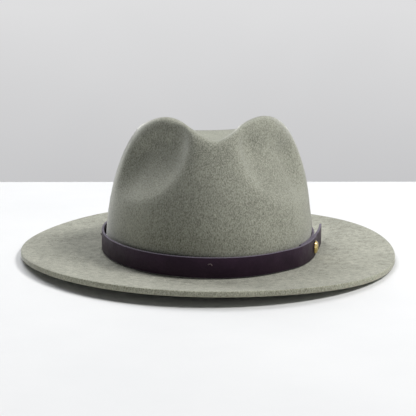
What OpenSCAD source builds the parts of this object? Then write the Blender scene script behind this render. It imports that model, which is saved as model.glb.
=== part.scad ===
// Felt fedora with a teardrop crown, a flat raw-edge brim and a leather band closed by a brass stud.
// Units are millimetres. +Z is up, the wearer faces -Y, and the hat rests on z = 0.

/* [Crown] */
// Width of the felt at the foot of the crown
crown_w = 171.2; // [165:0.1:178]
// Length of the felt at the foot of the crown
crown_l = 212.8; // [205:0.1:220]
// Height of the open crown before it is creased
open_crown_h = 142.5; // [136:0.5:148]
// Exponent that sets how upright the crown's sides are
side_shape = 2.3; // [2.1:0.05:2.6]
// Share of the height lost per millimetre toward the back
back_slope = 0.0018; // [0.001:0.0001:0.002]
// Sideways lean of the top
crown_lean = 3.7; // [0:0.1:6]
// Thickness of the crown's felt
felt_t = 2.6; // [2:0.1:3]

/* [Centre dent] */
// Lowest height of the dent's floor above the brim
dent_floor = 88.3; // [84:0.1:95]
// Distance of that lowest point behind the middle
dent_back = 12; // [4:1:20]
// Rise of the floor toward the front, per square millimetre
dent_rise_front = 0.0021; // [0.0015:0.0001:0.003]
// Rise of the floor toward the back, per square millimetre
dent_rise_back = 0.0028; // [0.001:0.0001:0.004]
// Slope of the dent's sides at the front
dent_slope_front = 0.84; // [0.5:0.01:1]
// Slope of the dent's sides in the middle
dent_slope_middle = 0.95; // [0.6:0.01:1.2]
// Slope of the dent's sides at the back
dent_slope_back = 0.5; // [0.3:0.01:0.9]
// Rounding of the floor across the dent, at the front
dent_round_front = 5.5; // [4:0.5:14]
// Rounding of the floor across the dent, at the back
dent_round_back = 40; // [20:1:50]
// Sideways place of the dent
dent_x = -1.5; // [-4:0.1:4]
// Rounding of the ridge around the dent
ridge_round = 16; // [10:0.5:20]

/* [Front pinches] */
// Distance from the nose's middle line to the centre of each pinch's round crease
pinch_x = 73.5; // [71:0.5:76]
// Sideways place of the nose between the pinches
nose_x = -3.5; // [-5:0.5:0]
// Height of the crease's centre above the brim
pinch_z = 104; // [100:1:107]
// Radius of the crease
pinch_r = 54; // [50:1:56]
// Width of a pinch's steep wall beside the nose
pinch_wall_side = 17; // [14:1:22]
// Width of a pinch's sloping wall at its lower end
pinch_wall_low = 33; // [26:1:36]
// Depth of the pinch on the wearer's right
pinch_right = 20; // [12:0.5:20]
// Depth of the pinch on the wearer's left
pinch_left = 17.5; // [12:0.5:20]

/* [Brim] */
// Overall width of the brim
brim_w = 311.2; // [290:0.1:330]
// Overall length of the brim
brim_l = 345.8; // [320:0.1:360]
// Thickness of the brim's felt
brim_t = 4.4; // [3.5:0.1:5]
// Lift of the brim's edge at the front
rise_front = 7.6; // [0:0.1:12]
// Lift of the brim's edge at the back
rise_back = 2.2; // [0:0.1:12]
// Lift of the brim's edge at each side
rise_side = 2; // [1:0.1:12]
// Twist that lifts the front left and drops the front right
rise_twist = 1.4; // [0:0.1:1.6]
// Width of the flat ring under the brim that the hat rests on
rest_ring = 11; // [8:1:14]
// Radius between crown and brim
foot_r = 2.4; // [1.5:0.1:3]

/* [Leather band] */
// Width of the strap
strap_w = 16; // [12:0.5:20]
// Thickness of the strap's leather
strap_t = 2; // [1.6:0.1:2.2]
// Space between the felt and the strap
strap_gap = 1.3; // [1.2:0.1:2]
// Height of the strap's lower edge
strap_z = 5.2; // [5:0.1:6]
// Angle of the stud, from the right side toward the front
stud_angle = 21; // [15:1:30]
// Angle that the strap's inner end reaches past the stud
underlap = 17; // [14:1:24]
// Length of the free tail, as an angle around the crown
tail_angle = 25.8; // [18:0.2:30]
// Distance of the tail's tip from the strap under it
tail_stand = 10; // [6:0.5:11]
// Radius of the corners at the tail's tip
tail_round = 6; // [3:0.5:7]

/* [Brass stud] */
// Diameter of the domed head
head_d = 10.8; // [9:0.1:12]
// Height of the domed head
head_h = 2.8; // [2:0.1:3.5]
// Diameter of the screw's shank
shank_d = 3; // [2.5:0.1:3.2]

/* [Sweatband and lining] */
// Height of the sweatband
sweat_h = 33; // [28:1:35]
// Thickness of the sweatband's leather
sweat_t = 1.1; // [0.8:0.1:1.2]
// Height of the lining's tip above the rest face
lining_h = 64; // [56:1:66]
// Thickness of the lining's cloth
lining_t = 0.5; // [0.4:0.1:0.8]

/* [Hidden] */

felt_colour = "#96988A";
leather_colour = "#221620";
edge_colour = "#6B6272";
brass_colour = "#C9A24A";
sweat_colour = "#3A2A22";
cloth_colour = "#4C4F4A";

around = 72;               // columns round the felt
crown_rows = 32;           // rows up the outside of the crown
inner_rows = 26;           // rows up the inside of the crown
brim_rows = 5;             // rows across each face of the brim
edge_r = 1.1;              // rounding of the brim's cut edge
ring_steps = 72;           // columns round the soft rings
strap_step = 3;            // degrees between points along the strap
running_gap = 0.05;        // between the screw's shank and the barrel's bore
seat_gap = 0.1;            // between pieces that lie on each other
wall_t = 0.8;              // wall of the stud's barrel
flange_t = 0.9;            // thickness of the stud's base

pinch_floor = 26;          // width over which a pinch's floor comes back out
pinch_soft = 4;            // rounding where a pinch begins

foot_a = crown_w / 2;
foot_b = crown_l / 2;
stud_z = strap_z + strap_w / 2;
stud_at = -stud_angle;
barrel_r = shank_d / 2 + running_gap + wall_t;
outer_layer = strap_gap + strap_t + seat_gap;   // offset of the outer layer's inner face
tail_start = stud_at + 6;
tail_root_gap = 0.4;       // degrees between the strap's sewn part and its free tail
tail_lift = 0.5;           // room under the tail's root, so that it can be pressed in
tape_off = felt_t + 0.3;
tape_t = 0.5;
reed_off = tape_off + tape_t + seat_gap;
reed_t = 0.9;
sweat_off = reed_off + reed_t + seat_gap;
hem_z = 0.9;

// ---- Shape functions -------------------------------------------------------

function smooth_min(a, b, k) = (a + b - sqrt((a - b) ^ 2 + k ^ 2)) / 2;

function smooth_step(t) = let (c = min(max(t, 0), 1)) c * c * (3 - 2 * c);

function mix(a, b, t) = a + (b - a) * t;

// Height of the centre dent's surface above the brim.
function dent_height(x, y) =
    let (front = smooth_step((-y - 5) / 45))
    let (back = smooth_step((y - 5) / 70))
    let (slope = mix(mix(dent_slope_middle, dent_slope_front, front), dent_slope_back, back))
    let (r = mix(dent_round_back, dent_round_front, front))
    let (rise = y < dent_back ? dent_rise_front : dent_rise_back)
    dent_floor + rise * (y - dent_back) ^ 2 + slope * (sqrt((x - dent_x) ^ 2 + r ^ 2) - r);

// How far the pinches press in at a place on the front of the crown.
function pinch_depth(x, y, z) =
    let (dx = pinch_x - abs(x - nose_x))
    let (dz = pinch_z - z)
    let (turn = atan2(dz, dx))
    let (wall = mix(pinch_wall_side, pinch_wall_low, smooth_step(turn / 80)))
    let (bare = pinch_r - norm([dx, dz]))
    let (within = (bare + norm([bare, pinch_soft])) / 2)
    let (rim = 1 - (1 - min(within / wall, 1)) ^ 2)
    let (floor_share = exp(-(max(within - wall, 0) / pinch_floor) ^ 2))
    let (along = smooth_step((turn + 35) / 55) * smooth_step((160 - turn) / 60))
    let (depth = x < 0 ? pinch_right : pinch_left)
    depth * smooth_step((-y - 20) / 40) * rim * floor_share * along;

// A point on the outside of the crown: th is the angle from the right side, ph runs from foot to top.
function crown_point(th, ph) =
    let (x = foot_a * cos(ph) * cos(th))
    let (y = foot_b * cos(ph) * sin(th))
    let (open_z = open_crown_h * pow(sin(ph), 2 / side_shape) * (1 - back_slope * y))
    let (z = smooth_min(open_z, dent_height(x, y), ridge_round))
    let (d = pinch_depth(x, y, z))
    [
        x - sign(x) * 0.35 * d * smooth_step(abs(x) / 12) + crown_lean * max(z, 0) / open_crown_h,
        y + 0.9 * d,
        z + brim_t,
    ];

function unit(v) = v / norm(v);

// The same point, moved inward along the surface's normal.
function crown_inside(th, ph, t) =
    let (p = crown_point(th, ph))
    let (u = crown_point(th + 0.5, ph) - crown_point(th - 0.5, ph))
    let (v = crown_point(th, ph + 0.25) - crown_point(th, ph - 0.25))
    p - t * unit(cross(u, v));

// Lift of the brim at an angle, at f from 0 at the crown to 1 at the edge.
function brim_rise(th, f) =
    let (flat = rest_ring / (brim_w / 2 - foot_a))
    let (front = max(-sin(th), 0) ^ 2 * rise_front)
    let (back = max(sin(th), 0) ^ 2 * rise_back)
    let (side = cos(th) ^ 2 * rise_side)
    let (twist = sin(2 * th) * rise_twist + 0.6 * cos(3 * th) + 0.9 * sin(4 * th))
    (front + back + side + twist) * max((f - flat) / (1 - flat), 0) ^ 1.4;

// A point of the brim: inset is measured inward from the edge, z above the brim's underside.
function brim_point(th, f, z, inset) =
    let (a = mix(foot_a + foot_r, brim_w / 2 - inset, f))
    let (b = mix(foot_b + foot_r, brim_l / 2 - inset, f))
    [a * cos(th), b * sin(th), z + brim_rise(th, f)];

// A point beside the foot of the crown, off millimetres outward of the felt.
function foot_point(th, off) =
    let (n = unit([cos(th) / foot_a, sin(th) / foot_b]))
    [foot_a * cos(th), foot_b * sin(th)] + off * n;

// A point inside the upright lower wall of the crown, off millimetres in from its outer face.
function wall_point(th, z, off) =
    let (h = max(z - brim_t, 0))
    let (full_h = open_crown_h * (1 - back_slope * foot_b * sin(th)))
    let (shrink = sqrt(1 - pow(h / full_h, side_shape)))
    let (n = unit([cos(th) / foot_a, sin(th) / foot_b]))
    [
        foot_a * shrink * cos(th) - off * n[0] + crown_lean * h / open_crown_h,
        foot_b * shrink * sin(th) - off * n[1],
        z,
    ];

// ---- General builders ------------------------------------------------------

// Triangles between successive rows of points, each row closed round.
function row_faces(rows, cols) = [
    for (i = [0 : rows - 2], j = [0 : cols - 1])
        let (a = i * cols + j)
        let (b = i * cols + (j + 1) % cols)
        each [[a, b, b + cols], [a, b + cols, a + cols]],
];

// A ring whose cross-section is a closed loop of rows.
module ring_solid(loop) {
    rows = len(loop);
    cols = len(loop[0]);
    count = rows * cols;
    points = [for (row = loop) each row];
    faces = [
        for (i = [0 : rows - 1], j = [0 : cols - 1])
            let (a = i * cols + j)
            let (b = i * cols + (j + 1) % cols)
            each [[a, (b + cols) % count, b], [a, (a + cols) % count, (b + cols) % count]],
    ];
    polyhedron(points, faces);
}

// A band of cloth or leather standing inside the crown, between two heights and two depths.
module wall_ring(z0, z1, off, t, steps) {
    angles = [for (j = [0 : ring_steps - 1]) j * 360 / ring_steps];
    up = [for (i = [0 : steps]) mix(z0, z1, i / steps)];
    down = [for (i = [0 : steps]) mix(z1, z0, i / steps)];
    ring_solid([
        for (z = up) [for (th = angles) wall_point(th, z, off + t)],
        for (z = down) [for (th = angles) wall_point(th, z, off)],
    ]);
}

// The same over a few degrees only, for strips and tabs.
module wall_patch(th0, th1, z0, z1, off, t) {
    n = 6;
    m = 6;
    cols = 2 * (n + 1);
    rows = [
        for (i = [0 : m])
            let (z = mix(z0, z1, i / m))
            [
                for (j = [0 : n]) wall_point(mix(th0, th1, j / n), z, off + t),
                for (j = [0 : n]) wall_point(mix(th1, th0, j / n), z, off),
            ],
    ];
    bottom = [for (j = [1 : cols - 2]) [0, j, j + 1]];
    top = [for (j = [1 : cols - 2]) [0, j + 1, j] + [1, 1, 1] * m * cols];
    sides = [for (f = row_faces(m + 1, cols)) [f[0], f[2], f[1]]];
    polyhedron([for (row = rows) each row], concat(bottom, sides, top));
}

// Places a shape so that its +Z points straight out of the crown at an angle and height.
module on_crown(th, z, off) {
    p = foot_point(th, off);
    n = unit([cos(th) / foot_a, sin(th) / foot_b]);
    translate([p[0], p[1], z])
        rotate([0, 90, atan2(n[1], n[0])])
            children();
}

// ---- Felt ------------------------------------------------------------------

function crown_row(i, rows) = 90 * (1 - i / rows);

module felt_body() {
    angles = [for (j = [0 : around - 1]) j * 360 / around];
    outside = [
        for (i = [1 : crown_rows - 1])
            [for (th = angles) crown_point(th, crown_row(i, crown_rows))],
    ];
    foot = [
        for (w = [0 : 30 : 90])
            [
                for (th = angles)
                    let (p = foot_point(th, foot_r * (1 - cos(w))))
                    [p[0], p[1], brim_t + foot_r * (1 - sin(w))],
            ],
    ];
    top_face = [
        for (i = [1 : brim_rows])
            [for (th = angles) brim_point(th, i / brim_rows, brim_t, edge_r)],
    ];
    edge = [
        for (w = [30 : 30 : 90])
            [for (th = angles) brim_point(th, 1, brim_t - edge_r * (1 - cos(w)), edge_r * (1 - sin(w)))],
        for (w = [90 : -30 : 30])
            [for (th = angles) brim_point(th, 1, edge_r * (1 - cos(w)), edge_r * (1 - sin(w)))],
    ];
    under = [
        for (i = [brim_rows : -1 : 1])
            [for (th = angles) brim_point(th, i / brim_rows, 0, edge_r)],
    ];
    rest = [
        [for (th = angles) brim_point(th, rest_ring / (brim_w / 2 - foot_a), 0, 0)],
        [for (th = angles) let (p = foot_point(th, -felt_t + 0.8)) [p[0], p[1], 0]],
    ];
    inside = [
        [for (th = angles) wall_point(th, 0.8, felt_t)],
        [for (th = angles) wall_point(th, brim_t, felt_t)],
        for (i = [inner_rows - 1 : -1 : 1])
            [for (th = angles) crown_inside(th, crown_row(i, inner_rows), felt_t)],
    ];
    rows = concat(outside, foot, top_face, edge, under, rest, inside);
    count = len(rows) * around;
    apex = [crown_point(0, 89.9), crown_inside(0, 89.9, felt_t)];
    cap = [for (j = [0 : around - 1]) [count, (j + 1) % around, j]];
    last = count - around;
    inner_cap = [for (j = [0 : around - 1]) [count + 1, last + j, last + (j + 1) % around]];
    color(felt_colour)
        polyhedron(concat([for (row = rows) each row], apex), concat(cap, row_faces(len(rows), around), inner_cap));
}

// ---- Leather band ----------------------------------------------------------

// Offset of the strap's inner face: it climbs onto its own inner end just before the stud.
function strap_offset(th) =
    let (climb_end = 360 + stud_at - underlap - 2)
    mix(strap_gap, outer_layer, smooth_step((th - climb_end + 16) / 16));

function tail_offset(th) =
    let (s = (th - tail_start) / tail_angle)
    outer_layer + tail_lift + tail_stand * pow(max(s, 0), 1.6);

module strap_hole(th, r) {
    on_crown(th, stud_z, 0)
        cylinder(h = outer_layer + strap_t + 4, r = r, $fn = 48);
}

module hat_band() {
    start = stud_at - underlap;
    finish = 360 + tail_start;
    angles = [for (th = [start : strap_step : finish - 1]) th, finish];
    outline = [
        for (th = angles) foot_point(th, strap_offset(th) + strap_t),
        for (i = [len(angles) - 1 : -1 : 0]) foot_point(angles[i], strap_offset(angles[i])),
    ];
    color(leather_colour)
        difference() {
            translate([0, 0, strap_z])
                linear_extrude(strap_w)
                    polygon(outline);
            strap_hole(stud_at, barrel_r + 0.15);
            for (th = tack_angles)
                tack_legs(th, tack_r + 0.15);
        }
}

// Half the tail's width at an angle: its tip is a rounded tongue.
function tail_half_width(th) =
    let (from_tip = (tail_start + tail_angle - th) * PI / 180 * foot_a)
    let (s = 1 - min(from_tip / tail_round, 1))
    strap_w / 2 - tail_round * (1 - sqrt(1 - s ^ 2));

module band_tail() {
    start = tail_start + tail_root_gap;
    finish = tail_start + tail_angle;
    round_start = finish - tail_round / foot_a * 180 / PI;
    angles = [
        for (i = [0 : 9]) mix(start, round_start, i / 10),
        for (w = [0 : 15 : 90]) mix(round_start, finish, sin(w)),
    ];
    rows = [
        for (th = angles)
            let (inner = foot_point(th, tail_offset(th)))
            let (outer = foot_point(th, tail_offset(th) + strap_t))
            let (half = tail_half_width(th))
            [
                [inner[0], inner[1], stud_z - half],
                [inner[0], inner[1], stud_z + half],
                [outer[0], outer[1], stud_z + half],
                [outer[0], outer[1], stud_z - half],
            ],
    ];
    last = 4 * (len(rows) - 1);
    ends = [[3, 2, 1], [3, 1, 0], [last, last + 1, last + 2], [last, last + 2, last + 3]];
    color(leather_colour)
        polyhedron([for (row = rows) each row], concat(ends, row_faces(len(rows), 4)));
}

// ---- Tack stitches that hold the band --------------------------------------

tack_angles = [-93, 90, 180];
tack_r = 0.4;              // radius of the waxed thread
tack_w = 3;                // length of the stitch on the leather
tack_z = strap_z + strap_w * 0.66;

module tack_legs(th, r) {
    on_crown(th, tack_z, 0.2)
        for (side = [-1, 1])
            translate([0, side * tack_w / 2, 0])
                cylinder(h = strap_gap + strap_t + 0.4, r = r, $fn = 24);
}

module band_tacks() {
    color("#1B1216")
        for (th = tack_angles) {
            tack_legs(th, tack_r);
            on_crown(th, tack_z, strap_gap + strap_t + 0.5)
                rotate([90, 0, 0])
                    cylinder(h = tack_w + 2 * tack_r, r = tack_r, center = true, $fn = 24);
        }
}

// ---- Brass stud ------------------------------------------------------------

module stud_post() {
    base = 0.25;
    color(brass_colour)
        on_crown(stud_at, stud_z, base)
            difference() {
                union() {
                    cylinder(h = flange_t, r = head_d / 2 - 0.4, $fn = 64);
                    cylinder(h = outer_layer + strap_t - base - 0.05, r = barrel_r, $fn = 48);
                }
                translate([0, 0, 0.4])
                    cylinder(h = outer_layer + strap_t, r = shank_d / 2 + running_gap, $fn = 48);
            }
}

module stud_cap() {
    rim_h = 0.7;
    dome_h = head_h - rim_h;
    dome_r = ((head_d / 2) ^ 2 + dome_h ^ 2) / (2 * dome_h);
    shank_l = outer_layer + strap_t - 0.9;
    color(brass_colour)
        on_crown(stud_at, stud_z, outer_layer + strap_t + seat_gap) {
            cylinder(h = rim_h, r = head_d / 2, $fn = 96);
            intersection() {
                translate([0, 0, head_h - dome_r])
                    sphere(r = dome_r, $fn = 96);
                translate([0, 0, rim_h - 0.1])
                    cylinder(h = head_h, r = head_d / 2, $fn = 96);
            }
            translate([0, 0, -shank_l])
                cylinder(h = shank_l + 0.1, r = shank_d / 2, $fn = 48);
        }
}

// ---- Sweatband -------------------------------------------------------------

module sweatband() {
    color(sweat_colour)
        wall_ring(hem_z, sweat_h, sweat_off, sweat_t, 5);
}

module sweatband_reed() {
    color("#D8D4C8")
        wall_ring(hem_z + 0.2, hem_z + 2.4, reed_off, reed_t, 1);
}

module sweatband_tape() {
    color(cloth_colour)
        wall_ring(hem_z, 9, tape_off, tape_t, 2);
}

module sweatband_stitching() {
    pitch = 5;
    length = 3;
    thread_r = 0.25;
    depth = sweat_off + sweat_t + thread_r + 0.2;
    color("#8A7A66")
        for (th = [pitch / 2 : pitch : 360])
            if (abs(th - 90) > 9) {
                p = wall_point(th, 6, depth);
                heading = atan2(foot_b * cos(th), -foot_a * sin(th));
                translate(p)
                    rotate([0, 90, heading])
                        cylinder(h = length, r = thread_r, center = true, $fn = 16);
            }
}

module rear_seam_tape() {
    color(cloth_colour)
        wall_patch(88, 92, hem_z + 0.2, sweat_h - 0.5, sweat_off + sweat_t + 0.25, 0.4);
}

module sweatband_bow() {
    loop_l = 9;
    loop_h = 7;
    cloth = 1.2;
    color(cloth_colour)
        on_crown(90, 8, -sweat_off - sweat_t - 2.7) {
            for (side = [-1, 1])
                hull() {
                    translate([-loop_h / 2, side * loop_l - 1, 0])
                        cube([loop_h, 2, cloth]);
                    translate([-1.2, -1, 0])
                        cube([2.4, 2, cloth]);
                }
            translate([-1.8, -1.6, -0.5])
                cube([3.6, 3.2, cloth + 0.8]);
        }
}

module size_tab() {
    color("#C9C6BC")
        wall_patch(62, 69, 16, 25, sweat_off + sweat_t + 0.25, 0.3);
}

// ---- Lining ----------------------------------------------------------------

lining_z = sweat_h - 5;
lining_off = felt_t + 0.6;
tip_share = 0.8;           // width of the lining's tip against its foot

// A point of the lining's side: u runs from its lower edge to its tip.
function lining_point(th, u, depth) =
    let (p = wall_point(th, mix(lining_z, lining_h, u), lining_off + depth))
    let (share = 1 - (1 - tip_share) * u ^ 2)
    let (middle = crown_lean * p[2] / open_crown_h)
    [middle + (p[0] - middle) * share, p[1] * share, p[2]];

module lining_side() {
    steps = 6;
    angles = [for (j = [0 : ring_steps - 1]) j * 360 / ring_steps];
    color(cloth_colour)
        ring_solid([
            for (i = [0 : steps]) [for (th = angles) lining_point(th, i / steps, lining_t)],
            for (i = [steps : -1 : 0]) [for (th = angles) lining_point(th, i / steps, 0)],
        ]);
}

module lining_tip() {
    angles = [for (j = [0 : ring_steps - 1]) j * 360 / ring_steps];
    crown_up = 3;
    shares = [0.12, 0.4, 0.7, 1];
    middle = crown_lean * lining_h / open_crown_h;
    function tip_row(share, z) = [
        for (th = angles)
            let (p = lining_point(th, 1, 0))
            [middle + (p[0] - middle) * share, p[1] * share, z + crown_up * (1 - share ^ 2)],
    ];
    rows = [
        for (s = shares) tip_row(s, lining_h + seat_gap + lining_t),
        for (i = [3 : -1 : 0]) tip_row(shares[i], lining_h + seat_gap),
    ];
    count = len(rows) * ring_steps;
    last = count - ring_steps;
    apex = [
        [middle, 0, lining_h + seat_gap + lining_t + crown_up],
        [middle, 0, lining_h + seat_gap + crown_up],
    ];
    cap = [for (j = [0 : ring_steps - 1]) [count, (j + 1) % ring_steps, j]];
    foot = [for (j = [0 : ring_steps - 1]) [count + 1, last + j, last + (j + 1) % ring_steps]];
    color(cloth_colour)
        polyhedron(
            concat([for (row = rows) each row], apex),
            concat(cap, row_faces(len(rows), ring_steps), foot)
        );
}

felt_body();
hat_band();
band_tail();
stud_cap();
stud_post();
band_tacks();
sweatband();
sweatband_reed();
sweatband_tape();
sweatband_stitching();
rear_seam_tape();
sweatband_bow();
lining_side();
lining_tip();
size_tab();
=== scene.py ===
import math

import bmesh
import bpy
import numpy as np
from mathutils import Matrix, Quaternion, Vector


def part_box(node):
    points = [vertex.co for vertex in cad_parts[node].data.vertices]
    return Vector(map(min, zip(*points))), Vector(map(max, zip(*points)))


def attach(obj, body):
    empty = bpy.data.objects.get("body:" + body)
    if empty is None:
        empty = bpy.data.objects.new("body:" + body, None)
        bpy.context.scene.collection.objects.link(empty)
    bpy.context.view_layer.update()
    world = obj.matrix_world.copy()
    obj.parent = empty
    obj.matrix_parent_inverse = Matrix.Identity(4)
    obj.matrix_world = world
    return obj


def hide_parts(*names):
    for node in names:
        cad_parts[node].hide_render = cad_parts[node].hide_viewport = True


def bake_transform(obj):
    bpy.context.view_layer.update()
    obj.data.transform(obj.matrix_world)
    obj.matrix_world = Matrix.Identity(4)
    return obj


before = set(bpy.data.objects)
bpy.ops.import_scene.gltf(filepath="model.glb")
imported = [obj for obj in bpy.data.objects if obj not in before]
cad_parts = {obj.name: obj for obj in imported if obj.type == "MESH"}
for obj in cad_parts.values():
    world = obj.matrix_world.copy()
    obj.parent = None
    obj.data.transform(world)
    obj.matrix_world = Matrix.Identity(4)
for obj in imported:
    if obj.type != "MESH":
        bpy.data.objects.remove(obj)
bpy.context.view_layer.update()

# Shapes are worked out in millimetres, and make_mesh turns them into metres.
MM = 0.001

# ---- Sizes shared with the CAD model, in millimetres and degrees ------------

BRIM_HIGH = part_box("felt_body")[1]
BRIM_A = BRIM_HIGH.x / MM                # half the brim's width
BRIM_B = BRIM_HIGH.y / MM                # half its length
FOOT_A = 85.6                            # half the crown's width at its foot
FOOT_B = 106.4                           # half its length there
FELT_T = 2.6
BRIM_T = 4.4
FOOT_R = 2.4                             # hollow corner between crown and brim
OPEN_CROWN_H = 142.5                     # height the crown would have with no dent
SIDE_SHAPE = 2.3                         # 2 is an ellipse, more is squarer
BACK_SLOPE = 0.0018                      # share lost from the height per millimetre towards the back
CROWN_LEAN = 3.7                         # towards the wearer's left, at the open height
REST_RING = 11.0                         # flat ring of the brim beside the crown

LAYER_GAP = 0.1                          # between two layers that lie on each other
STRAP_LOW, STRAP_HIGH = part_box("band_tail")
STRAP_Z = STRAP_LOW.z / MM
STRAP_W = (STRAP_HIGH.z - STRAP_LOW.z) / MM
STRAP_T = 2.0
STRAP_GAP = 1.3                          # from the felt to the strap's inner layer
STRAP_EDGE_R = 0.35
OUTER_LAYER = STRAP_GAP + STRAP_T + LAYER_GAP
STUD_AT = -21.0                          # angle round the crown, 0 at the wearer's left
UNDERLAP = 17.0
LAYER_CLIMB = 16.0                       # angle over which the strap climbs onto its own inner end
LAYER_CLEAR = 2.0                        # and the angle left between the two
TAIL_START = STUD_AT + 6.0
TAIL_ANGLE = 25.8
TAIL_STAND = 10.0                        # how far the tail's end stands off
TAIL_LIFT = 0.5                          # step at its root
TAIL_CURVE = 1.6                         # how late it bends away
TAIL_ROUND = 6.0
STUD_Z = STRAP_Z + STRAP_W / 2

SWEAT_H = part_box("sweatband")[1].z / MM
HEM_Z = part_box("sweatband")[0].z / MM
TAPE_OFF = FELT_T + 0.3                  # each OFF is measured in from the felt's outer face
REED_OFF = TAPE_OFF + 0.6
SWEAT_OFF = REED_OFF + 1.0
SWEAT_T = 1.1
SWEAT_FACE = SWEAT_OFF + SWEAT_T
LINING_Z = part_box("lining_side")[0].z / MM
LINING_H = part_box("lining_side")[1].z / MM
LINING_OFF = FELT_T + 0.6
TIP_SHARE = 0.8                          # size of the lining's top edge against its wall


# ---- Small helpers ----------------------------------------------------------

def smooth_step(t):
    """An eased step from 0 at t = 0 to 1 at t = 1."""
    t = np.clip(t, 0, 1)
    return t * t * (3 - 2 * t)


def mix(a, b, t):
    """The value a share t of the way from a to b."""
    return a + (b - a) * t


def ring_angles(count):
    """Evenly spaced angles round one turn."""
    return np.linspace(0, 2 * np.pi, count, endpoint=False)


def stack(x, y, z):
    """Points from coordinates that are arrays or single numbers."""
    return np.stack(np.broadcast_arrays(x, y, z), axis=-1).astype(float)


def link_object(obj):
    bpy.context.scene.collection.objects.link(obj)
    return obj


def face_outward(mesh):
    """Makes a mesh's faces agree with each other, and look outward where the mesh is closed."""
    shape = bmesh.new()
    shape.from_mesh(mesh)
    bmesh.ops.recalc_face_normals(shape, faces=shape.faces)
    shape.to_mesh(mesh)
    shape.free()


def link_mesh(name, points, faces, materials, kinds):
    """A smooth object from points in millimetres. Each kind says which material a face takes."""
    mesh = bpy.data.meshes.new(name)
    mesh.from_pydata(list(map(tuple, np.asarray(points, float) * MM)), [], faces)
    mesh.polygons.foreach_set("use_smooth", [True] * len(faces))
    for material in materials:
        mesh.materials.append(material)
    mesh.polygons.foreach_set("material_index", kinds)
    mesh.update()
    face_outward(mesh)
    return link_object(bpy.data.objects.new(name, mesh))


def make_mesh(name, rows, materials, row_material=None, wrap_rows=False, caps=False):
    """A mesh from rows of points in millimetres. Each row is a closed ring.

    With wrap_rows the last row joins the first, and with caps the two end rings are filled."""
    grid = np.asarray(rows)
    row_count, col_count, _ = grid.shape
    faces = []
    kinds = []
    for i in range(row_count if wrap_rows else row_count - 1):
        for j in range(col_count):
            a = i * col_count + j
            b = i * col_count + (j + 1) % col_count
            c = ((i + 1) % row_count) * col_count + (j + 1) % col_count
            d = ((i + 1) % row_count) * col_count + j
            faces.append((a, b, c, d))
            kinds.append(row_material[i] if row_material is not None else 0)
    if caps:
        last = (row_count - 1) * col_count
        faces.append(tuple(reversed(range(col_count))))
        faces.append(tuple(range(last, last + col_count)))
        kinds += [0, 0]
    return link_mesh(name, grid.reshape(-1, 3), faces, materials, kinds)


def close_end(obj, ring, apex):
    """Fans a ring of point numbers to one point in millimetres."""
    mesh = obj.data
    points = [tuple(v.co) for v in mesh.vertices] + [tuple(np.asarray(apex) * MM)]
    faces = [tuple(p.vertices) for p in mesh.polygons]
    kinds = [p.material_index for p in mesh.polygons]
    tip = len(points) - 1
    for j in range(len(ring)):
        faces.append((ring[j], ring[(j + 1) % len(ring)], tip))
        kinds.append(kinds[0])
    materials = list(mesh.materials)
    mesh.clear_geometry()
    mesh.from_pydata(points, [], faces)
    mesh.polygons.foreach_set("use_smooth", [True] * len(faces))
    mesh.polygons.foreach_set("material_index", kinds)
    for k, material in enumerate(materials):
        mesh.materials[k] = material
    mesh.update()
    face_outward(mesh)


# ---- Material helpers -------------------------------------------------------

def srgb(red, green, blue):
    """A screen colour, each channel from 0 to 255, as a linear colour."""
    def linear(v):
        v /= 255
        return v / 12.92 if v <= 0.04045 else ((v + 0.055) / 1.055) ** 2.4
    return (linear(red), linear(green), linear(blue), 1.0)


NOISE_SPAN = (0.3, 0.7)                  # most of a noise's values lie between these


class Shader:
    """A Principled material with the few node recipes that this hat needs."""

    def __init__(self, name):
        self.material = bpy.data.materials.new(name)
        self.material.use_nodes = True
        self.nodes = self.material.node_tree.nodes
        self.links = self.material.node_tree.links
        self.bsdf = self.nodes["Principled BSDF"]
        self.place = self.nodes.new("ShaderNodeTexCoord").outputs["Object"]

    def put(self, socket, value):
        if isinstance(value, bpy.types.NodeSocket):
            self.links.new(value, socket)
        else:
            socket.default_value = value

    def set(self, **values):
        for key, value in values.items():
            self.put(self.bsdf.inputs[key.replace("_", " ")], value)

    def stretched(self, scale):
        node = self.nodes.new("ShaderNodeMapping")
        self.put(node.inputs["Vector"], self.place)
        node.inputs["Scale"].default_value = scale
        return node.outputs["Vector"]

    def noise(self, scale, detail, rough, vector=None):
        node = self.nodes.new("ShaderNodeTexNoise")
        self.put(node.inputs["Vector"], vector or self.place)
        node.inputs["Scale"].default_value = scale
        node.inputs["Detail"].default_value = detail
        node.inputs["Roughness"].default_value = rough
        return node.outputs["Fac"]

    def cells(self, scale):
        node = self.nodes.new("ShaderNodeTexVoronoi")
        self.put(node.inputs["Vector"], self.place)
        node.inputs["Scale"].default_value = scale
        return node.outputs["Distance"]

    def math(self, kind, a, b):
        node = self.nodes.new("ShaderNodeMath")
        node.operation = kind
        self.put(node.inputs[0], a)
        self.put(node.inputs[1], b)
        return node.outputs[0]

    def spread(self, value, low, high, to_low=0.0, to_high=1.0):
        node = self.nodes.new("ShaderNodeMapRange")
        self.put(node.inputs["Value"], value)
        node.inputs["From Min"].default_value = low
        node.inputs["From Max"].default_value = high
        node.inputs["To Min"].default_value = to_low
        node.inputs["To Max"].default_value = to_high
        return node.outputs["Result"]

    def blend(self, factor, a, b):
        node = self.nodes.new("ShaderNodeMix")
        node.data_type = "RGBA"
        self.put(node.inputs["Factor"], factor)
        colour_a, colour_b = node.inputs[6], node.inputs[7]
        self.put(colour_a, a)
        self.put(colour_b, b)
        return node.outputs[2]

    def bump(self, height, distance, strength=1.0, normal=None):
        node = self.nodes.new("ShaderNodeBump")
        node.inputs["Distance"].default_value = distance
        node.inputs["Strength"].default_value = strength
        self.put(node.inputs["Height"], height)
        if normal is not None:
            self.put(node.inputs["Normal"], normal)
        return node.outputs["Normal"]


# ---- Materials --------------------------------------------------------------

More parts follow.
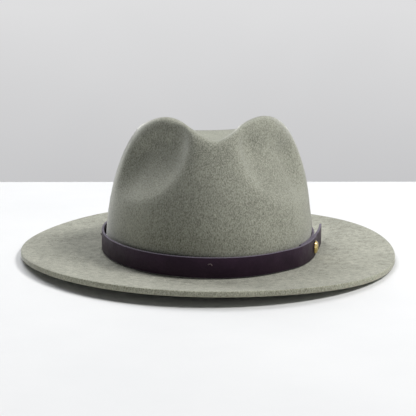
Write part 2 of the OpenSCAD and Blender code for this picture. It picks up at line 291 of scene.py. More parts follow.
def felt_material(name, dark, light, speckle=1.0, tuft_scale=620, tuft_share=0.2, sheen=0.5):
    """Fur felt: mixed light and dark fibres brushed upright, in soft clouds, with a pale nap."""
    s = Shader(name)
    brushed = s.stretched((1.0, 1.0, 0.5))
    fibres = s.noise(scale=1500, detail=3.0, rough=0.7, vector=brushed)
    tufts = s.noise(scale=tuft_scale, detail=3.0, rough=0.6, vector=brushed)
    clouds = s.noise(scale=22, detail=3.0, rough=0.55)
    fibre_span = 0.14 / speckle
    fine = s.spread(fibres, 0.5 - fibre_span, 0.5 + fibre_span, to_high=0.66)
    medium = s.spread(tufts, *NOISE_SPAN, to_high=tuft_share)
    wide = s.spread(clouds, *NOISE_SPAN, to_high=0.2)
    amount = s.math("ADD", s.math("ADD", fine, medium), wide)
    colour = s.blend(amount, dark, light)
    tuft_normal = s.bump(tufts, distance=0.0002, strength=0.2)
    normal = s.bump(fibres, distance=0.0002, strength=0.4, normal=tuft_normal)
    s.set(Base_Color=colour, Roughness=0.95, Normal=normal, Sheen_Weight=sheen, Sheen_Roughness=0.35)
    s.set(Sheen_Tint=(0.95, 0.95, 0.92, 1.0), Specular_IOR_Level=0.15)
    return s.material


def leather_material(name, dark, light, roughness, grain):
    """Smooth dyed leather with a fine grain, faint creases and uneven polish."""
    s = Shader(name)
    clouds = s.noise(scale=45, detail=4.0, rough=0.6)
    pores = s.noise(scale=grain, detail=3.0, rough=0.6)
    pebbles = s.cells(grain * 0.9)
    colour = s.blend(s.spread(clouds, *NOISE_SPAN), dark, light)
    polish = s.noise(scale=120, detail=3.0, rough=0.6)
    gloss = s.spread(polish, *NOISE_SPAN, to_low=roughness - 0.06, to_high=roughness + 0.1)
    pebble_normal = s.bump(pebbles, distance=0.00015, strength=0.5)
    normal = s.bump(pores, distance=0.00012, strength=0.5, normal=pebble_normal)
    s.set(Base_Color=colour, Roughness=gloss, Normal=normal, Specular_IOR_Level=0.28)
    s.set(Specular_Tint=(0.82, 0.66, 0.86, 1.0))
    return s.material


def cut_leather_material():
    """The strap's cut edge, where the paler fibres show."""
    s = Shader("cut_leather")
    fibres = s.noise(scale=700, detail=4.0, rough=0.7, vector=s.stretched((1.0, 1.0, 4.0)))
    colour = s.blend(s.spread(fibres, *NOISE_SPAN), srgb(74, 66, 80), srgb(122, 114, 130))
    s.set(Base_Color=colour, Roughness=0.7, Normal=s.bump(fibres, distance=0.0002, strength=0.5))
    return s.material


def brass_material():
    """Polished brass with fine wear and a little tarnish."""
    s = Shader("brass")
    wear = s.noise(scale=900, detail=4.0, rough=0.7)
    tarnish = s.noise(scale=260, detail=3.0, rough=0.6)
    colour = s.blend(s.spread(tarnish, 0.35, 0.75), srgb(226, 204, 142), srgb(186, 160, 102))
    gloss = s.spread(wear, *NOISE_SPAN, to_low=0.12, to_high=0.28)
    s.set(Base_Color=colour, Metallic=1.0, Roughness=gloss)
    s.set(Normal=s.bump(wear, distance=0.00003, strength=0.4))
    return s.material


def thread_material(name, dark, light):
    """Twisted thread: slanting plies of two close colours."""
    s = Shader(name)
    wave = s.nodes.new("ShaderNodeTexWave")
    s.put(wave.inputs["Vector"], s.place)
    wave.bands_direction = "DIAGONAL"
    wave.inputs["Scale"].default_value = 900
    wave.inputs["Distortion"].default_value = 1.5
    plies = wave.outputs["Fac"]
    s.set(Base_Color=s.blend(plies, dark, light), Roughness=0.6)
    s.set(Normal=s.bump(plies, distance=0.0001, strength=0.6))
    return s.material


def ribbon_material():
    """Ribbed ribbon: fine ribs one above another, with a soft shine."""
    dark, light = srgb(54, 56, 52), srgb(84, 87, 82)
    s = Shader("ribbon")
    wave = s.nodes.new("ShaderNodeTexWave")
    s.put(wave.inputs["Vector"], s.place)
    wave.bands_direction = "Z"
    wave.inputs["Scale"].default_value = 420
    ribs = wave.outputs["Fac"]
    yarn = s.noise(scale=1500, detail=2.0, rough=0.6)
    amount = s.math("MULTIPLY", ribs, s.spread(yarn, 0.2, 0.8, to_low=0.6))
    s.set(Base_Color=s.blend(amount, dark, light), Roughness=0.62, Sheen_Weight=0.2)
    s.set(Normal=s.bump(ribs, distance=0.00015, strength=0.6))
    return s.material


def satin_material():
    """Lining satin: a soft directional shine over fine yarns."""
    s = Shader("satin")
    yarn = s.noise(scale=900, detail=3.0, rough=0.6, vector=s.stretched((1.0, 1.0, 0.08)))
    folds = s.noise(scale=60, detail=2.0, rough=0.5, vector=s.stretched((1.0, 1.0, 0.3)))
    colour = s.blend(s.spread(yarn, *NOISE_SPAN), srgb(98, 100, 92), srgb(132, 134, 124))
    gloss = s.spread(folds, *NOISE_SPAN, to_low=0.28, to_high=0.42)
    s.set(Base_Color=colour, Roughness=gloss, Specular_IOR_Level=0.6)
    s.set(Anisotropic=0.6, Sheen_Weight=0.25, Normal=s.bump(yarn, distance=0.00008, strength=0.4))
    return s.material


def woven_material():
    """Pale woven tape of the blank size tab."""
    s = Shader("woven_tape")
    yarn = s.noise(scale=1400, detail=2.0, rough=0.6, vector=s.stretched((1.0, 1.0, 3.0)))
    colour = s.blend(s.spread(yarn, *NOISE_SPAN), srgb(184, 181, 172), srgb(214, 211, 202))
    s.set(Base_Color=colour, Roughness=0.8, Normal=s.bump(yarn, distance=0.00012, strength=0.5))
    return s.material


def reed_material():
    """The sweatband's plastic reed: matt, faintly cloudy."""
    s = Shader("reed_plastic")
    haze = s.noise(scale=200, detail=2.0, rough=0.5)
    colour = s.blend(haze, srgb(205, 200, 188), srgb(226, 222, 212))
    s.set(Base_Color=colour, Roughness=0.5, Normal=s.bump(haze, distance=0.00005, strength=0.3))
    return s.material


def table_material():
    """A pale, faintly uneven surface."""
    s = Shader("table_top")
    haze = s.noise(scale=7, detail=4.0, rough=0.6)
    darker, paler = (0.78, 0.785, 0.795, 1.0), (0.82, 0.822, 0.83, 1.0)
    colour = s.blend(s.spread(haze, *NOISE_SPAN), darker, paler)
    s.set(Base_Color=colour, Roughness=0.55, Specular_IOR_Level=0.3)
    return s.material


def glowing_wall_material():
    """A wall whose soft light is painted: it glows by itself, a little darker toward its foot as painted
    shade.
    """
    s = Shader("glowing_wall")
    split = s.nodes.new("ShaderNodeSeparateXYZ")
    s.put(split.inputs[0], s.place)
    haze = s.noise(scale=1.5, detail=3.0, rough=0.6)
    # painted shade: the glow dims toward the wall's foot
    height = s.spread(split.outputs["Z"], -0.35, 0.15)
    amount = s.math("ADD", height, s.spread(haze, *NOISE_SPAN, to_low=-0.08, to_high=0.08))
    foot, top = (0.57, 0.57, 0.58, 1.0), (0.735, 0.735, 0.742, 1.0)
    colour = s.blend(amount, foot, top)
    s.set(Base_Color=(0.0, 0.0, 0.0, 1.0), Specular_IOR_Level=0.0, Emission_Color=colour)
    s.set(Emission_Strength=1.0, Roughness=1.0)
    return s.material


FELT = felt_material("felt", srgb(90, 91, 80), srgb(194, 195, 180), sheen=0.9)
FELT_BRIM = felt_material(
    "felt_brim", srgb(81, 81, 72), srgb(190, 190, 177), tuft_scale=240, tuft_share=0.42, sheen=0.3)
# painted light: the cut edge is coloured paler than the same felt elsewhere, for the light it catches
# from the pale table below
FELT_CUT_PAINTED_LIGHT = felt_material("felt_cut_painted_light", srgb(112, 112, 96), srgb(196, 196, 177), speckle=1.4)
BAND_LEATHER = leather_material(
    "band_leather", srgb(27, 13, 25), srgb(46, 28, 44), roughness=0.5, grain=900)
CUT_LEATHER = cut_leather_material()
BRASS = brass_material()
TACK_THREAD = thread_material("tack_thread", srgb(58, 44, 52), srgb(128, 110, 116))
SEAM_THREAD = thread_material("seam_thread", srgb(112, 98, 80), srgb(160, 144, 122))
SWEAT_LEATHER = leather_material(
    "sweat_leather", srgb(50, 34, 27), srgb(72, 52, 42), roughness=0.6, grain=700)
RIBBON = ribbon_material()
SATIN = satin_material()
TAB_CLOTH = woven_material()
REED = reed_material()


# ---- Shape of the felt ------------------------------------------------------

DENT_FLOOR = 88.3                        # lowest place of the dent's floor
DENT_BACK = 12.0                         # how far behind the middle that is
DENT_X = -1.5
DENT_RISE_FRONT = 0.0021
DENT_RISE_BACK = 0.0028
DENT_SLOPES = (0.84, 0.95, 0.5)          # front, middle, back
DENT_ROUND = (5.5, 40.0)                 # front, back
DENT_MIDDLE = 5.0                        # half the length of its middle stretch
DENT_FADES = (45.0, 70.0)                # lengths over which its ends take over: front, back
RIDGE_ROUND = 16.0
BAND_SWELL = 1.3                         # the felt swells over the band on the wearer's left
SWELL_Z, SWELL_H = 23.0, 9.0
PINCH_MIDDLE = -3.5                      # the nose between the two pinches
PINCH_X, PINCH_Z, PINCH_R = 73.5, 104.0, 54.0        # middle and radius of each pinch's round edge
PINCH_RIM = (14.5, 33.0)                 # width of the wall beside the nose, and below
PINCH_RIM_TURN = 80.0                    # degrees from the one to the other
PINCH_FLOOR = 26.0                       # distance past the wall over which the floor rises again
PINCH_SOFT = 4.0                         # softness of the edge
PINCH_DEPTHS = (20.0, 17.5)              # wearer's right, wearer's left
PINCH_STARTS = (-35.0, 55.0)             # degrees round the edge where it starts, and its fade
PINCH_ENDS = (160.0, 60.0)               # and where it ends
PINCH_FRONT = (20.0, 40.0)               # distance in front of the middle, and its fade
PINCH_PUSH = (0.35, 0.9)                 # shares of the depth that go sideways and backward
NOSE_HALF = 12.0
BRIM_LIFTS = (7.6, 2.2, 2.0)             # rise of the brim's edge: front, back, sides
BRIM_WAVES = (1.4, 0.6, 0.9)             # and its waves: twice, three and four times round
BRIM_CURL = 1.4                          # how late the rise sets in


def dent_height(x, y):
    """Height of the curved sheet that presses the dent into the open crown."""
    front = smooth_step((-y - DENT_MIDDLE) / DENT_FADES[0])
    back = smooth_step((y - DENT_MIDDLE) / DENT_FADES[1])
    slope = mix(mix(DENT_SLOPES[1], DENT_SLOPES[0], front), DENT_SLOPES[2], back)
    r = mix(DENT_ROUND[1], DENT_ROUND[0], front)
    rise = np.where(y < DENT_BACK, DENT_RISE_FRONT, DENT_RISE_BACK)
    across = np.sqrt((x - DENT_X) ** 2 + r ** 2) - r
    return DENT_FLOOR + rise * (y - DENT_BACK) ** 2 + slope * across


def pinch_depth(x, y, z):
    """How far the thumb-and-finger pinches press in at a place on the front of the crown."""
    dx = PINCH_X - np.abs(x - PINCH_MIDDLE)
    dz = PINCH_Z - z
    turn = np.degrees(np.arctan2(dz, dx))
    width = mix(PINCH_RIM[0], PINCH_RIM[1], smooth_step(turn / PINCH_RIM_TURN))
    within = PINCH_R - np.hypot(dx, dz)
    within = (within + np.sqrt(within ** 2 + PINCH_SOFT ** 2)) / 2
    rim = 1 - (1 - np.minimum(within / width, 1)) ** 2
    floor = np.exp(-(np.maximum(within - width, 0) / PINCH_FLOOR) ** 2)
    starts = smooth_step((turn - PINCH_STARTS[0]) / PINCH_STARTS[1])
    ends = smooth_step((PINCH_ENDS[0] - turn) / PINCH_ENDS[1])
    along = starts * ends
    depth = np.where(x < 0, PINCH_DEPTHS[0], PINCH_DEPTHS[1])
    in_front = smooth_step((-y - PINCH_FRONT[0]) / PINCH_FRONT[1])
    return depth * in_front * rim * floor * along


def crown_point(th, ph):
    """A point on the crown's outside: th round it, ph from 0 at its foot to a quarter turn on top."""
    x = FOOT_A * np.cos(ph) * np.cos(th)
    y = FOOT_B * np.cos(ph) * np.sin(th)
    open_z = OPEN_CROWN_H * np.sin(ph) ** (2 / SIDE_SHAPE) * (1 - BACK_SLOPE * y)
    dent = dent_height(x, y)
    z = (open_z + dent - np.sqrt((open_z - dent) ** 2 + RIDGE_ROUND ** 2)) / 2
    d = pinch_depth(x, y, z)
    inward = PINCH_PUSH[0] * d * smooth_step(np.abs(x) / NOSE_HALF)
    lean = CROWN_LEAN * np.maximum(z, 0) / OPEN_CROWN_H
    swell = BAND_SWELL * smooth_step(np.cos(th)) * np.exp(-((z - SWELL_Z) / SWELL_H) ** 2)
    return stack(x - np.sign(x) * inward + lean + swell, y + PINCH_PUSH[1] * d, z + BRIM_T)


def crown_inside(th, ph):
    """The point of the crown's inner face behind crown_point, one felt thickness in."""
    step_round, step_up = 0.006, 0.003
    along = crown_point(th + step_round, ph) - crown_point(th - step_round, ph)
    up = crown_point(th, ph + step_up) - crown_point(th, ph - step_up)
    normal = np.cross(along, up)
    normal /= np.linalg.norm(normal, axis=-1, keepdims=True)
    return crown_point(th, ph) - FELT_T * normal


def brim_rise(th, f):
    """How far the brim has risen at a share f of the way to its edge."""
    flat = REST_RING / (BRIM_A - FOOT_A)
    front = np.maximum(-np.sin(th), 0) ** 2 * BRIM_LIFTS[0]
    back = np.maximum(np.sin(th), 0) ** 2 * BRIM_LIFTS[1]
    side = np.cos(th) ** 2 * BRIM_LIFTS[2]
    twice, thrice, four_times = BRIM_WAVES
    twist = twice * np.sin(2 * th) + thrice * np.cos(3 * th) + four_times * np.sin(4 * th)
    return (front + back + side + twist) * max((f - flat) / (1 - flat), 0) ** BRIM_CURL


def brim_point(th, f, z, inset):
    """A point of the brim: f runs from 0 beside the crown to 1 at the edge, inset in from it."""
    a = mix(FOOT_A + FOOT_R, BRIM_A - inset, f)
    b = mix(FOOT_B + FOOT_R, BRIM_B - inset, f)
    return stack(a * np.cos(th), b * np.sin(th), z + brim_rise(th, f))


def foot_normal(th):
    """The level direction outward from the oval of the crown's foot."""
    normal = np.stack([np.cos(th) / FOOT_A, np.sin(th) / FOOT_B])
    return normal / np.linalg.norm(normal, axis=0)


def foot_reach(th):
    """Millimetres along the crown's foot for each radian of th."""
    return math.hypot(FOOT_A * math.sin(th), FOOT_B * math.cos(th))


def foot_point(th, off, z):
    """A point beside the foot of the crown, off millimetres outward of the felt."""
    normal = foot_normal(th)
    return stack(FOOT_A * np.cos(th) + off * normal[0], FOOT_B * np.sin(th) + off * normal[1], z)


def wall_point(th, z, off):
    """A point inside the upright lower wall of the crown, off millimetres in from its outer face."""
    h = np.maximum(z - BRIM_T, 0)
    full = OPEN_CROWN_H * (1 - BACK_SLOPE * FOOT_B * np.sin(th))
    shrink = np.sqrt(1 - (h / full) ** SIDE_SHAPE)
    normal = foot_normal(th)
    lean = CROWN_LEAN * h / OPEN_CROWN_H
    x = FOOT_A * shrink * np.cos(th) - off * normal[0] + lean
    return stack(x, FOOT_B * shrink * np.sin(th) - off * normal[1], z)


def make_felt():
    """The whole felt in one piece: crown, brim, raw cut edge, underside and inside."""
    nap, cut, top_of_brim = 0, 1, 2
    arris = 0.8
    top_ring = math.radians(89.3)
    th = ring_angles(384)
    rows = []
    kinds = []

    def add(row, kind=nap):
        rows.append(row)
        kinds.append(kind)

    for ph in np.linspace(top_ring, math.radians(1.2), 130):
        add(crown_point(th, ph))
    for turn in np.radians(np.arange(0, 91, 15)):
        add(foot_point(th, FOOT_R * (1 - np.cos(turn)), BRIM_T + FOOT_R * (1 - np.sin(turn))))
    for f in np.linspace(0.03, 1, 30):
        add(brim_point(th, f, BRIM_T, arris), top_of_brim)
    for turn in np.radians((30, 60, 90)):
        inset = arris * (1 - np.sin(turn))
        add(brim_point(th, 1, BRIM_T - arris * (1 - np.cos(turn)), inset), cut)
    for drop in (1.6, 2.2, 2.8):
        add(brim_point(th, 1, BRIM_T - drop, 0.0), cut)
    for turn in np.radians((90, 60, 30, 0)):
        inset = arris * (1 - np.sin(turn))
        add(brim_point(th, 1, arris * (1 - np.cos(turn)), inset), cut)
    for f in np.linspace(0.97, 0.16, 20):
        add(brim_point(th, f, 0, arris))
    add(foot_point(th, arris - FELT_T, 0.0))
    add(wall_point(th, arris, FELT_T))
    add(wall_point(th, BRIM_T, FELT_T))
    for ph in np.linspace(math.radians(2.5), top_ring, 90):
        add(crown_inside(th, ph))
    felt = make_mesh("felt_shell", rows, [FELT, FELT_CUT_PAINTED_LIGHT, FELT_BRIM], kinds)
    count = len(th)
    last = (len(rows) - 1) * count
    close_end(felt, list(range(count))[::-1], crown_point(0.0, math.radians(89.99)))
    close_end(felt, list(range(last, last + count)), crown_inside(0.0, math.radians(89.9)))
    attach(felt, "hat")
    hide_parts("felt_body")


# ---- Leather band -----------------------------------------------------------

def strap_section():
    """Points round the strap's section as (out, up) pairs, and the material from each to the next."""
    r = STRAP_EDGE_R
    corners = [
        (STRAP_T - r, r, -90),
        (STRAP_T - r, STRAP_W - r, 0),
        (r, STRAP_W - r, 90),
        (r, r, 180),
    ]
    points = []
    for out, up, start in corners:
        for turn in (0, 45, 90):
            a = math.radians(start + turn)
            points.append((out + r * math.cos(a), up + r * math.sin(a)))
    broad_faces = (2, 8)
    kinds = [0 if k in broad_faces else 1 for k in range(len(points))]
    return points, kinds


def make_strap(name, th_degrees, offset, width):
    """A strap swept round the crown, standing on edge."""
    th = np.radians(th_degrees)
    section, kinds = strap_section()
    rows = []
    for out, up in section:
        share = up / STRAP_W - 0.5
        rows.append(foot_point(th, offset + out, STRAP_Z + STRAP_W / 2 + share * width))
    rows = np.asarray(rows).transpose(1, 0, 2)
    strap = make_mesh(name, rows, [BAND_LEATHER, CUT_LEATHER], caps=True)
    strips = len(section)
    for k, face in enumerate(strap.data.polygons):
        if len(face.vertices) == 4:
            face.material_index = kinds[k % strips]
        else:
            face.material_index = 1
            face.use_smooth = False
    return strap


def ring_offset(deg):
    """How far the strap stands off the felt: one layer more once it has climbed onto its inner end."""
    climb_end = 360 + STUD_AT - UNDERLAP - LAYER_CLEAR
    return mix(STRAP_GAP, OUTER_LAYER, smooth_step((deg - climb_end + LAYER_CLIMB) / LAYER_CLIMB))


def tail_offset(deg):
    """How far the free tail stands off the felt: a small step at its root, then a curve outward."""
    s = np.maximum((deg - TAIL_START) / TAIL_ANGLE, 0)
    return OUTER_LAYER + TAIL_LIFT * smooth_step(4 * s) + TAIL_STAND * s ** TAIL_CURVE


def make_band():
    """The band as a ring that overlaps itself under the stud, and its free tail with a rounded end."""
    ring_deg = np.linspace(STUD_AT - UNDERLAP, 360 + TAIL_START, 480)
    ring = make_strap("strap_ring", ring_deg, ring_offset(ring_deg), STRAP_W)
    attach(ring, "hat")
    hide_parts("hat_band")

    round_deg = math.degrees(TAIL_ROUND / FOOT_A)
    tip_deg = TAIL_START + TAIL_ANGLE
    straight = np.linspace(TAIL_START, tip_deg - round_deg, 60)
    rounded = tip_deg - round_deg * (1 - np.sin(np.radians(np.arange(6, 91, 6))))
    tail_deg = np.concatenate([straight, rounded])
    end = np.clip((tail_deg - tip_deg + round_deg) / round_deg, 0, 1)
    width = STRAP_W - 2 * TAIL_ROUND * (1 - np.sqrt(1 - end ** 2))
    tail = make_strap("strap_tail", tail_deg, tail_offset(tail_deg), width)
    root = foot_point(np.radians(TAIL_START), OUTER_LAYER, STUD_Z) * MM
    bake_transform(tail)
    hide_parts("band_tail")


# ---- Brass stud -------------------------------------------------------------

def lathe(name, profile, place, axis, material):
    """Turns (radius, height) pairs in millimetres round an axis."""
    turns = ring_angles(96)
    rows = [stack(r * np.cos(turns), r * np.sin(turns), h) for r, h in profile]
    obj = make_mesh(name, rows, [material], caps=True)
    matrix = axis.to_track_quat("Z", "Y").to_matrix().to_4x4()
    matrix.translation = place
    obj.data.transform(matrix)
    return obj


def make_stud():
    """The stud's head and screw, turned in one: (radius, height) pairs from the screw's end up."""
    head_r = 5.4
    dome_r, dome_h, dome_foot = 5.0, 1.9, 0.9
    th = math.radians(STUD_AT)
    seat = OUTER_LAYER + STRAP_T + LAYER_GAP
    place = Vector(foot_point(np.asarray(th), seat, STUD_Z)) * MM
    out = Vector((math.cos(th) / FOOT_A, math.sin(th) / FOOT_B, 0)).normalized()
    screw = [(0.6, -4.5), (1.3, -4.5), (1.5, -4.3), (1.5, 0.0)]
    rim = [(4.9, 0.0), (5.25, 0.12), (head_r, 0.4), (head_r, 0.6), (5.3, 0.82), (5.05, 0.95)]
    dome = []
    for a in np.radians(np.linspace(82, 2, 22)):
        dome.append((dome_r * math.sin(a), dome_foot + dome_h * math.cos(a)))
    stud = lathe("stud_head", screw + rim + dome, place, out, BRASS)
    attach(stud, "stud")
    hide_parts("stud_cap")


# ---- Threads ----------------------------------------------------------------

def tube(name, paths, radius, material):
    """Round threads along paths of points in millimetres, all in one mesh."""
    sides = 10
    off_every_tangent = (0.13, 0.21, 0.97)
    points = []
    faces = []
    turns = ring_angles(sides)
    for path in paths:
        path = np.asarray(path, float)
        tangent = np.gradient(path, axis=0)
        tangent /= np.linalg.norm(tangent, axis=1, keepdims=True)
        side = np.cross(tangent, off_every_tangent)
        side /= np.linalg.norm(side, axis=1, keepdims=True)
        other = np.cross(tangent, side)
        start = len(points)
        for k in range(len(path)):
            for a in turns:
                points.append(path[k] + radius * (side[k] * math.cos(a) + other[k] * math.sin(a)))
        for k in range(len(path) - 1):
            for j in range(sides):
                a = start + k * sides + j
                b = start + k * sides + (j + 1) % sides
                faces.append((a, b, b + sides, a + sides))
        faces.append(tuple(start + j for j in reversed(range(sides))))
        end = start + (len(path) - 1) * sides
        faces.append(tuple(end + j for j in range(sides)))
    return link_mesh(name, points, faces, [material], [0] * len(faces))


def make_tacks():
    """Waxed tack stitches: out of one hole, over the leather in a small hook, in at the other."""
    surface = STRAP_GAP + STRAP_T
    outward = (-0.9, -0.2, 0.3, 0.6, 0.7, 0.6, 0.3, -0.2, -0.9)
    along = (-1.0, -1.0, -0.9, -0.55, 0.0, 0.55, 0.9, 1.0, 1.0)
    upward = (0.0, 0.0, 0.1, 0.55, 0.85, 0.7, -0.1, -0.6, -0.6)
    half_stitch = 1.5
    thread_r = 0.4
    z = STRAP_Z + STRAP_W * 0.66
    front, back, wearers_right = -93.0, 90.0, 180.0
    paths = []
    for deg in (front, back, wearers_right):
        th = math.radians(deg)
        reach = foot_reach(th)
        paths.append([
            foot_point(np.asarray(th + half_stitch * step / reach), surface + out, z + up)
            for step, out, up in zip(along, outward, upward)
        ])
    tacks = tube("tack_stitches", paths, thread_r, TACK_THREAD)
    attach(tacks, "hat")
    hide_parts("band_tacks")


# ---- Inside the hat ---------------------------------------------------------

PATCH_GAP = 0.25                         # between the sweatband and the cloth pieces on it


def rounded_section(low, high, off, thickness, steps):
    """Height and depth pairs round a band's section, with rolled upper and lower edges."""
    half = thickness / 2
    pairs = []
    for z in np.linspace(low + half, high - half, steps):
        pairs.append((z, off + thickness))
    for turn in (45, 90, 135):
        a = math.radians(turn)
        pairs.append((high - half + half * math.sin(a), off + half + half * math.cos(a)))
    for z in np.linspace(high - half, low + half, steps):
        pairs.append((z, off))
    for turn in (225, 270, 315):
        a = math.radians(turn)
        pairs.append((low + half + half * math.sin(a), off + half + half * math.cos(a)))
    return pairs


def inner_ring(name, pairs, material, node):
    """A band standing round the inside of the crown."""
    th = ring_angles(288)
    rows = [wall_point(th, z, off) for z, off in pairs]
    ring = make_mesh(name, rows, [material], wrap_rows=True)
    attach(ring, "hat")
    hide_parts(node)


def make_sweatband():
    """Soft leather with a rolled upper edge, a pressed line under it and a dip along the stitches."""
    pressed_line = (SWEAT_H - 4.0, 0.22, 0.5)          # height, depth, half width
    stitch_dip = (6.0, 0.15, 0.9)
    pairs = []
    for z, off in rounded_section(HEM_Z, SWEAT_H, SWEAT_OFF, SWEAT_T, 60):
        if off > SWEAT_OFF + 0.9 * SWEAT_T:
            for dip_z, depth, half in (pressed_line, stitch_dip):
                off -= depth * math.exp(-((z - dip_z) / half) ** 2)
        pairs.append((z, off))
    inner_ring("sweatband_leather", pairs, SWEAT_LEATHER, "sweatband")


def make_tape():
    """The tape between the sweatband and the felt."""
    tape_top, tape_t = 9.0, 0.5
    pairs = rounded_section(HEM_Z, tape_top, TAPE_OFF, tape_t, 8)
    inner_ring("joining_tape", pairs, RIBBON, "sweatband_tape")


def make_patch(name, degrees, heights, off, thickness, corner, material):
    """A small piece of cloth lying on the sweatband, with rounded corners and a thinner rim."""
    middle_deg = sum(degrees) / 2
    middle_z = sum(heights) / 2
    reach = foot_reach(math.radians(middle_deg))
    half_w = math.radians(degrees[1] - degrees[0]) / 2 * reach
    half_h = (heights[1] - heights[0]) / 2
    rim = []
    for cx, cz, start in ((1, 1, 0), (-1, 1, 90), (-1, -1, 180), (1, -1, 270)):
        for turn in (0, 22.5, 45, 67.5, 90):
            a = math.radians(start + turn)
            rim.append((
                cx * (half_w - corner) + corner * math.cos(a),
                cz * (half_h - corner) + corner * math.sin(a),
            ))
    rim = np.asarray(rim)

    def row(share, depth):
        th = np.radians(middle_deg) + rim[:, 0] * share / reach
        return wall_point(th, middle_z + rim[:, 1] * share, off + depth)

    shares = (0.02, 0.3, 0.6, 0.85, 0.97)
    rows = [row(share, thickness) for share in shares]
    rows += [row(1.0, thickness * 0.7), row(1.0, thickness * 0.3)]
    rows += [row(share, 0.0) for share in shares[::-1]]
    return make_mesh(name, rows, [material], caps=True)


def make_seam_tape():
    """A narrow strip over the sweatband's joint at the back."""
    heights = (HEM_Z + 0.2, SWEAT_H - 0.5)
    face = SWEAT_FACE + PATCH_GAP
    tape = make_patch("seam_ribbon", (88, 92), heights, face, thickness=0.4, corner=0.5, material=RIBBON)
    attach(tape, "hat")
    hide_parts("rear_seam_tape")


def make_size_tab():
    """A blank woven tab."""
    face = SWEAT_FACE + PATCH_GAP
    tab = make_patch("blank_tab", (62, 69), (16, 25), face, thickness=0.3, corner=0.8, material=TAB_CLOTH)
    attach(tab, "hat")
    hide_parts("size_tab")


BOW_OFF = 2.1                            # the bow's middle, in from the sweatband's face
BOW_Z = 8.0
BOW_CLOTH = 0.3
BOW_DIP = 0.12                           # the ribbon is hollow along its middle
BOW_SECTION = ((-0.5, 1), (0.0, 1), (0.5, 1), (0.5, -1), (0.0, -1), (-0.5, -1))    # share of width, side


def bow_point(x, z, depth):
    """A place on the bow behind the wearer's head: x sideways, depth in from the bow's middle."""
    return (x, FOOT_B - SWEAT_FACE - BOW_OFF - depth, BOW_Z + z)


def make_bow():
    """A flat ribbon bow: two loops that open from a wrapped knot."""
    sides = len(BOW_SECTION)
    points = []
    faces = []

    def add_band(path, widths):
        start = len(points)
        path = np.asarray(path, float)
        tangent = np.gradient(path, axis=0)
        tangent /= np.linalg.norm(tangent, axis=1, keepdims=True)
        for (x, depth), (tx, td), width in zip(path, tangent, widths):
            nx, nd = -td * BOW_CLOTH / 2, tx * BOW_CLOTH / 2
            for share, sign in BOW_SECTION:
                dip = BOW_DIP * sign if share == 0.0 else 0.0
                points.append(bow_point(x + sign * nx, share * width, depth + sign * nd - dip))
        for k in range(len(path) - 1):
            for j in range(sides):
                a = start + sides * k + j
                b = start + sides * k + (j + 1) % sides
                faces.append((a, b, b + sides, a + sides))
        faces.append(tuple(start + j for j in reversed(range(sides))))
        faces.append(tuple(start + sides * (len(path) - 1) + j for j in range(sides)))

    along = np.linspace(0, 1, 40)
    for side in (-1, 1):
        x = side * (0.4 + 9.2 * np.sin(np.pi * along) ** 0.8)
        depth = 0.45 * np.cos(np.pi * along) + 0.25 * np.sin(2 * np.pi * along)
        widths = 2.4 + 4.4 * np.sin(np.pi * along) ** 0.6
        add_band(np.stack([x, depth], axis=1), widths)
    turn = np.linspace(0, 2 * np.pi, 33)
    knot_width = np.full(len(turn), 3.4)
    add_band(np.stack([1.5 * np.cos(turn), 0.85 * np.sin(turn)], axis=1), knot_width)
    bow = link_mesh("ribbon_bow", points, faces, [RIBBON], [0] * len(faces))
    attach(bow, "hat")
    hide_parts("sweatband_bow")


LINING_T = 0.5
GATHERS = 46
GATHER_DEPTH = 0.55
TIP_CROWN = 3.0                          # rise of the tip's middle
TIP_PUCKER = 0.12


def lining_point(th, u, depth):
    """A point of the lining's side: u runs from its lower edge to its gathered upper edge."""
    z = mix(LINING_Z, LINING_H, u)
    wave = np.sin(GATHERS * th + 1.3 * np.sin(5 * th)) * (0.75 + 0.25 * np.sin(7 * th))
    gather = GATHER_DEPTH * wave * smooth_step(u * 1.4) * (1 - 0.7 * u ** 6)
    p = wall_point(th, np.full_like(th, z), LINING_OFF + depth + gather + GATHER_DEPTH * smooth_step(u))
    share = 1 - (1 - TIP_SHARE) * u ** 2
    middle = CROWN_LEAN * z / OPEN_CROWN_H
    return stack(middle + (p[:, 0] - middle) * share, p[:, 1] * share, p[:, 2])


def make_lining():
    """Satin lining: a gathered side panel, and a slightly crowned oval tip with a puckered edge."""
    th = ring_angles(GATHERS * 10)
    heights = np.linspace(0, 1, 22)
    rows = [lining_point(th, u, LINING_T) for u in heights]
    rows += [lining_point(th, u, 0.0) for u in heights[::-1]]
    side = make_mesh("lining_panel", rows, [SATIN], wrap_rows=True)
    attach(side, "hat")
    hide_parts("lining_side")

    middle = CROWN_LEAN * LINING_H / OPEN_CROWN_H
    edge = lining_point(th, 1.0, 0.0)
    low = LINING_H + LAYER_GAP

    def tip_row(share, z):
        pucker = TIP_PUCKER * share ** 4 * np.sin(GATHERS * th)
        height = z + TIP_CROWN * (1 - share ** 2) + pucker
        return stack(middle + (edge[:, 0] - middle) * share, edge[:, 1] * share, height)

    shares = np.linspace(0.12, 1, 22)
    rows = [tip_row(share, low + LINING_T) for share in shares]
    rows += [tip_row(share, low) for share in shares[::-1]]
    tip = make_mesh("lining_crown", rows, [SATIN], caps=True)
    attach(tip, "hat")
    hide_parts("lining_tip")


# ---- Stage, light and camera ------------------------------------------------

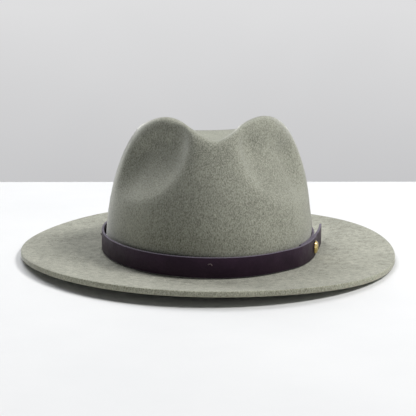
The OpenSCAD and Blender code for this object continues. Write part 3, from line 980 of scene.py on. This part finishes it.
def make_stage():
    """A pale table whose far edge is just behind the hat, inside a plain round wall whose light is
    painted as its own glow.
    """
    far = 0.354
    near = -1.6
    half = 1.7
    corner_r = 0.05
    edge_r = 0.006
    thick = 0.04
    outline = []
    for x, y, start in ((half, near, -90), (half, far, 0), (-half, far, 90), (-half, near, 180)):
        for turn in (0, 30, 60, 90):
            a = math.radians(start + turn)
            cx = x - math.copysign(corner_r, x)
            cy = y - math.copysign(corner_r, y)
            outline.append((cx + corner_r * math.cos(a), cy + corner_r * math.sin(a)))
    outline = np.asarray(outline)
    middle = outline.mean(axis=0)
    size = np.abs(outline - middle).max(axis=0)
    bevel = edge_r * 0.3
    rows = []
    for inset, drop in ((0.4, 0.0), (edge_r, 0.0), (bevel, bevel), (0.0, edge_r), (0.0, thick)):
        ring = middle + (outline - middle) * (1 - inset / size)
        rows.append(stack(ring[:, 0], ring[:, 1], -drop) / MM)
    table = make_mesh("table", rows, [table_material()])
    count = len(outline)
    close_end(table, list(range(count))[::-1], (middle[0] / MM, middle[1] / MM, 0.0))
    th = ring_angles(96)
    wall_r = 2400.0
    wall_heights = (-1600.0, 0.0, 1400.0, 2600.0)
    wall_rows = [stack(wall_r * np.cos(th), wall_r * np.sin(th), z) for z in wall_heights]
    # painted light: the wall's brightness is its own glow, not light from the lamps
    wall = make_mesh("glowing_wall", wall_rows, [glowing_wall_material()])
    wall.visible_diffuse = False
    wall.visible_shadow = False


def area_light(name, place, aim, power, size, colour):
    """A round soft light, its size in metres and its power in watts, aimed at a point."""
    data = bpy.data.lights.new(name, "AREA")
    data.shape = "DISK"
    data.energy = power
    data.size = size
    data.color = colour
    light = link_object(bpy.data.objects.new(name, data))
    light.location = place
    light.rotation_euler = (Vector(aim) - Vector(place)).to_track_quat("-Z", "Y").to_euler()


def make_lights():
    crown = (0.0, 0.0, 0.06)
    area_light("key", (0.98, -0.24, 1.46), crown, power=25.0, size=0.6, colour=(1.0, 0.995, 0.98))
    area_light("top", (-0.45, 0.98, 1.54), crown, power=25.0, size=1.4, colour=(0.98, 0.99, 1.0))
    world = bpy.data.worlds.new("studio")
    bpy.context.scene.world = world
    world.use_nodes = True
    sky = world.node_tree.nodes["Background"]
    sky.inputs["Color"].default_value = (0.93, 0.96, 1.0, 1.0)
    sky.inputs["Strength"].default_value = 0.09


CAMERA_UP = 11.05                        # degrees above level
CAMERA_ROUND = -3.425                    # degrees from straight in front, to the wearer's right
CAMERA_ROLL = 0.53
CAMERA_AIM = (0, 0, 0.03797)
CAMERA_DISTANCE = 1.0032
CAMERA_LENS = 103.5
CAMERA_SENSOR = 36


def make_camera():
    """The photograph's viewpoint."""
    data = bpy.data.cameras.new("camera")
    data.sensor_width = CAMERA_SENSOR
    data.lens = CAMERA_LENS
    camera = link_object(bpy.data.objects.new("camera", data))
    up = math.radians(CAMERA_UP)
    round_ = math.radians(CAMERA_ROUND)
    back = Vector((
        math.sin(round_) * math.cos(up),
        -math.cos(round_) * math.cos(up),
        math.sin(up),
    ))
    camera.location = Vector(CAMERA_AIM) + back * CAMERA_DISTANCE
    camera.rotation_mode = "QUATERNION"
    roll = Quaternion((0, 0, 1), math.radians(CAMERA_ROLL))
    camera.rotation_quaternion = (-back).to_track_quat("-Z", "Y") @ roll
    bpy.context.scene.camera = camera


CAD_MATERIALS = {
    "stud_post": BRASS,
    "sweatband_reed": REED,
    "sweatband_stitching": SEAM_THREAD,
}


def dress_cad_nodes():
    """Gives the CAD nodes that stay in view their procedural materials."""
    for node, material in CAD_MATERIALS.items():
        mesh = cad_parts[node].data
        mesh.materials.clear()
        mesh.materials.append(material)


make_felt()
make_band()
make_stud()
make_tacks()
make_sweatband()
make_tape()
make_seam_tape()
make_size_tab()
make_bow()
make_lining()
dress_cad_nodes()
make_stage()
make_lights()
make_camera()
bpy.context.scene.view_settings.view_transform = "Standard"
